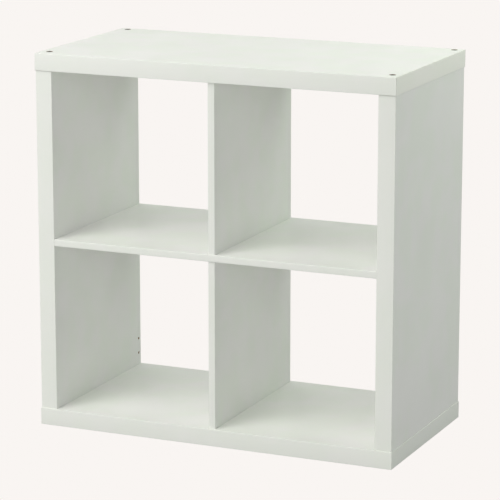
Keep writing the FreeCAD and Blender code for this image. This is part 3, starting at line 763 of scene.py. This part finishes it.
def screw_patch():
    """A screw about the Z axis with the top of its head at 0, as rows of radii and heights.

    In the thread the radius is the root's plus a ridge: a triangle wave of height over pitch less
    angle over a full turn, cut off so that the ridge takes up a share of the pitch, and faded out
    over one pitch at both ends. In the socket the radius is half the flats over the cosine of the
    angle from the nearest flat."""
    angle = np.linspace(0, 2 * np.pi, SCREW_ANGLES, endpoint=False)
    even = np.ones(SCREW_ANGLES)
    tip = -SCREW_LENGTH
    thread_top = -SHANK_LENGTH - 2 * (SHANK_RADIUS - ROOT_RADIUS)
    thread_low = tip + TIP_LENGTH
    count = int((thread_top - thread_low) / THREAD_PITCH * ROWS_PER_TURN)
    height = np.linspace(thread_low, thread_top, count)[:, None]
    phase = (height / THREAD_PITCH - angle / (2 * np.pi)) % 1.0
    ridge = np.clip(1 - abs(phase - 0.5) * 2 / THREAD_RIDGE, 0, 1)
    fade = np.clip(np.minimum(height - thread_low, thread_top - height) / THREAD_PITCH, 0, 1)
    thread = ROOT_RADIUS + (SHANK_RADIUS - ROOT_RADIUS) * ridge * fade
    flat = SOCKET_FLATS / 2 / np.cos((angle + np.pi / 6) % (np.pi / 3) - np.pi / 6)
    rows = [(0 * even, tip), (TIP_RADIUS * even, tip)]
    rows += [(radius, z) for radius, z in zip(thread, height[:, 0])]
    rows += [
        (ROOT_RADIUS * even, thread_top + THREAD_NECK),
        (SHANK_RADIUS * even, -SHANK_LENGTH),
        (SHANK_RADIUS * even, -HEAD_HEIGHT),
        ((HEAD_RADIUS - HEAD_EASE / 2) * even, -HEAD_HEIGHT),
        (HEAD_RADIUS * even, -HEAD_HEIGHT + HEAD_EASE / 2),
        (HEAD_RADIUS * even, -HEAD_EASE),
        ((HEAD_RADIUS - 0.3 * HEAD_EASE) * even, -0.3 * HEAD_EASE),
        ((HEAD_RADIUS - HEAD_EASE) * even, 0.0),
        (flat + SOCKET_CHAMFER, 0.0),
        (flat, -SOCKET_CHAMFER),
        (flat, -SOCKET_DEPTH),
        (0 * even, -SOCKET_DEPTH - SOCKET_CONE),
    ]
    radius = np.stack([row for row, _ in rows])
    heights = np.repeat(np.array([z for _, z in rows])[:, None], SCREW_ANGLES, axis=1)
    return turned_patch(radius, heights)


def screw_material():
    """Black coated steel: matt and nearly black, with a cloudy bloom and fine turning lines."""
    material, tree, shader = new_material("black coated steel")
    shader.inputs["Specular IOR Level"].default_value = 0.03
    coating = noise(tree, stretched_place(tree, UNSTRETCHED), size=0.0015, detail=4.0)
    colour = blend_colours(tree, coating, COATING_DARK, COATING_LIGHT)
    tree.links.new(colour, shader.inputs["Base Color"])
    tree.links.new(ramp(tree, coating, start=-0.9, end=1.6), shader.inputs["Roughness"])
    lines = noise(tree, stretched_place(tree, TURNING_STRETCH), size=0.0006)
    add_bump(tree, shader, lines, depth=0.00002)
    return material


screw_steel = screw_material()
UPSIDE_DOWN = ((1, 0, 0), (0, -1, 0), (0, 0, -1))
for name, axes, head_level in (("top_screws", UPRIGHT, screw_high.z),
                               ("bottom_screws", UPSIDE_DOWN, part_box("bottom_screws")[0].z)):
    patches = []
    for x, y in screw_places:
        patches += move_patches([screw_patch()], axes, (x, y, head_level))
    make_piece(name, patches, (screw_steel,))


# ---- Studio -------------------------------------------------------------------------------------
# A plain pale floor that runs into the backdrop, and soft light from large sources all round: the
# strongest from high in front, and a long lens a little to the right and above, looking down.

BACKDROP = (0.947, 0.913, 0.888)
ROOM_LIGHT = (0.236, 0.236, 0.236)
FLOOR_GLOW = (0.313, 0.313, 0.313)
FLOOR_GREY = (0.195, 0.188, 0.183)
CAMERA_PLACE = (2.0492, -4.6308, 1.5201)
CAMERA_YAW = math.radians(23.89)
CAMERA_DIP = math.radians(12.91)
CAMERA_LENS = 184.8


def seen_colour(tree, seen, otherwise):
    """One colour for what the camera sees directly, and another for the light thrown on things."""
    path = tree.nodes.new("ShaderNodeLightPath")
    return blend_colours(tree, path.outputs["Is Camera Ray"], otherwise, seen)


def floor_material():
    """Pale floor of one even tone, which throws a little light back up."""
    material, tree, shader = new_material("pale floor", Roughness=1.0)
    shader.inputs["Specular IOR Level"].default_value = 0.0
    tree.links.new(seen_colour(tree, (0.0, 0.0, 0.0), FLOOR_GREY), shader.inputs["Base Color"])
    tree.links.new(seen_colour(tree, BACKDROP, FLOOR_GLOW), shader.inputs["Emission Color"])
    shader.inputs["Emission Strength"].default_value = 1.0
    return material


FLOOR_HALF = 30.0
floor_mesh = bpy.data.meshes.new("floor")
floor_corners = [(-FLOOR_HALF, -FLOOR_HALF, 0), (FLOOR_HALF, -FLOOR_HALF, 0),
                 (FLOOR_HALF, FLOOR_HALF, 0), (-FLOOR_HALF, FLOOR_HALF, 0)]
floor_mesh.from_pydata(floor_corners, [], [(0, 1, 2, 3)])
floor_mesh.materials.append(floor_material())
floor = bpy.data.objects.new("floor", floor_mesh)
bpy.context.scene.collection.objects.link(floor)

world = bpy.data.worlds.new("room")
world.use_nodes = True
room = world.node_tree.nodes["Background"]
world.node_tree.links.new(seen_colour(world.node_tree, BACKDROP, ROOM_LIGHT), room.inputs["Color"])
bpy.context.scene.world = world


def aim(light, direction):
    """Turn a light so that it shines along a direction."""
    light.rotation_euler = Vector(direction).to_track_quat("-Z", "Y").to_euler()


def far_light(name, azimuth, height, energy, colour, mirrored=True):
    """A large soft source far away: azimuth 0 is in front and 90 on the right, in degrees.

    One that is not mirrored gives no glare on flat faces."""
    data = bpy.data.lights.new(name, "SUN")
    data.energy = energy
    data.color = colour
    data.angle = math.radians(40)
    light = bpy.data.objects.new(name, data)
    around, up = math.radians(azimuth), math.radians(height)
    aim(light, (-math.sin(around) * math.cos(up), math.cos(around) * math.cos(up), -math.sin(up)))
    light.visible_glossy = mirrored
    bpy.context.scene.collection.objects.link(light)


def panel_light(name, place, target, side, power, colour):
    """A square soft box of one side length, at a place, turned to a target."""
    data = bpy.data.lights.new(name, "AREA")
    data.size = side
    data.energy = power
    data.color = colour
    light = bpy.data.objects.new(name, data)
    light.location = place
    aim(light, Vector(target) - Vector(place))
    bpy.context.scene.collection.objects.link(light)


far_light("key", azimuth=-20, height=60, energy=1.51, colour=(1.0, 0.985, 0.955))
far_light("front right", azimuth=40, height=8, energy=0.63, colour=(0.96, 0.97, 1.0), mirrored=False)
far_light("rear", azimuth=180, height=50, energy=0.68, colour=(0.97, 0.97, 0.93))
far_light("rear left", azimuth=-130, height=30, energy=0.62, colour=(1.0, 0.98, 0.96))
panel_light("right", place=(1.2, 0.6, 1.6), target=(0.38, 0.0, 0.7), side=0.8, power=6.5,
            colour=(0.84, 0.97, 0.82))
panel_light("front left", place=(-1.2, -1.8, 1.4), target=(-0.2, -0.2, 0.5), side=1.0, power=11.5,
            colour=(1.0, 1.0, 1.0))

camera_data = bpy.data.cameras.new("camera")
camera_data.sensor_width = 36.0
camera_data.lens = CAMERA_LENS
camera_data.clip_end = 100.0
camera = bpy.data.objects.new("camera", camera_data)
camera.location = CAMERA_PLACE
camera.rotation_euler = (math.pi / 2 - CAMERA_DIP, 0, CAMERA_YAW)
bpy.context.scene.collection.objects.link(camera)
bpy.context.scene.camera = camera
bpy.context.scene.view_settings.view_transform = "Standard"
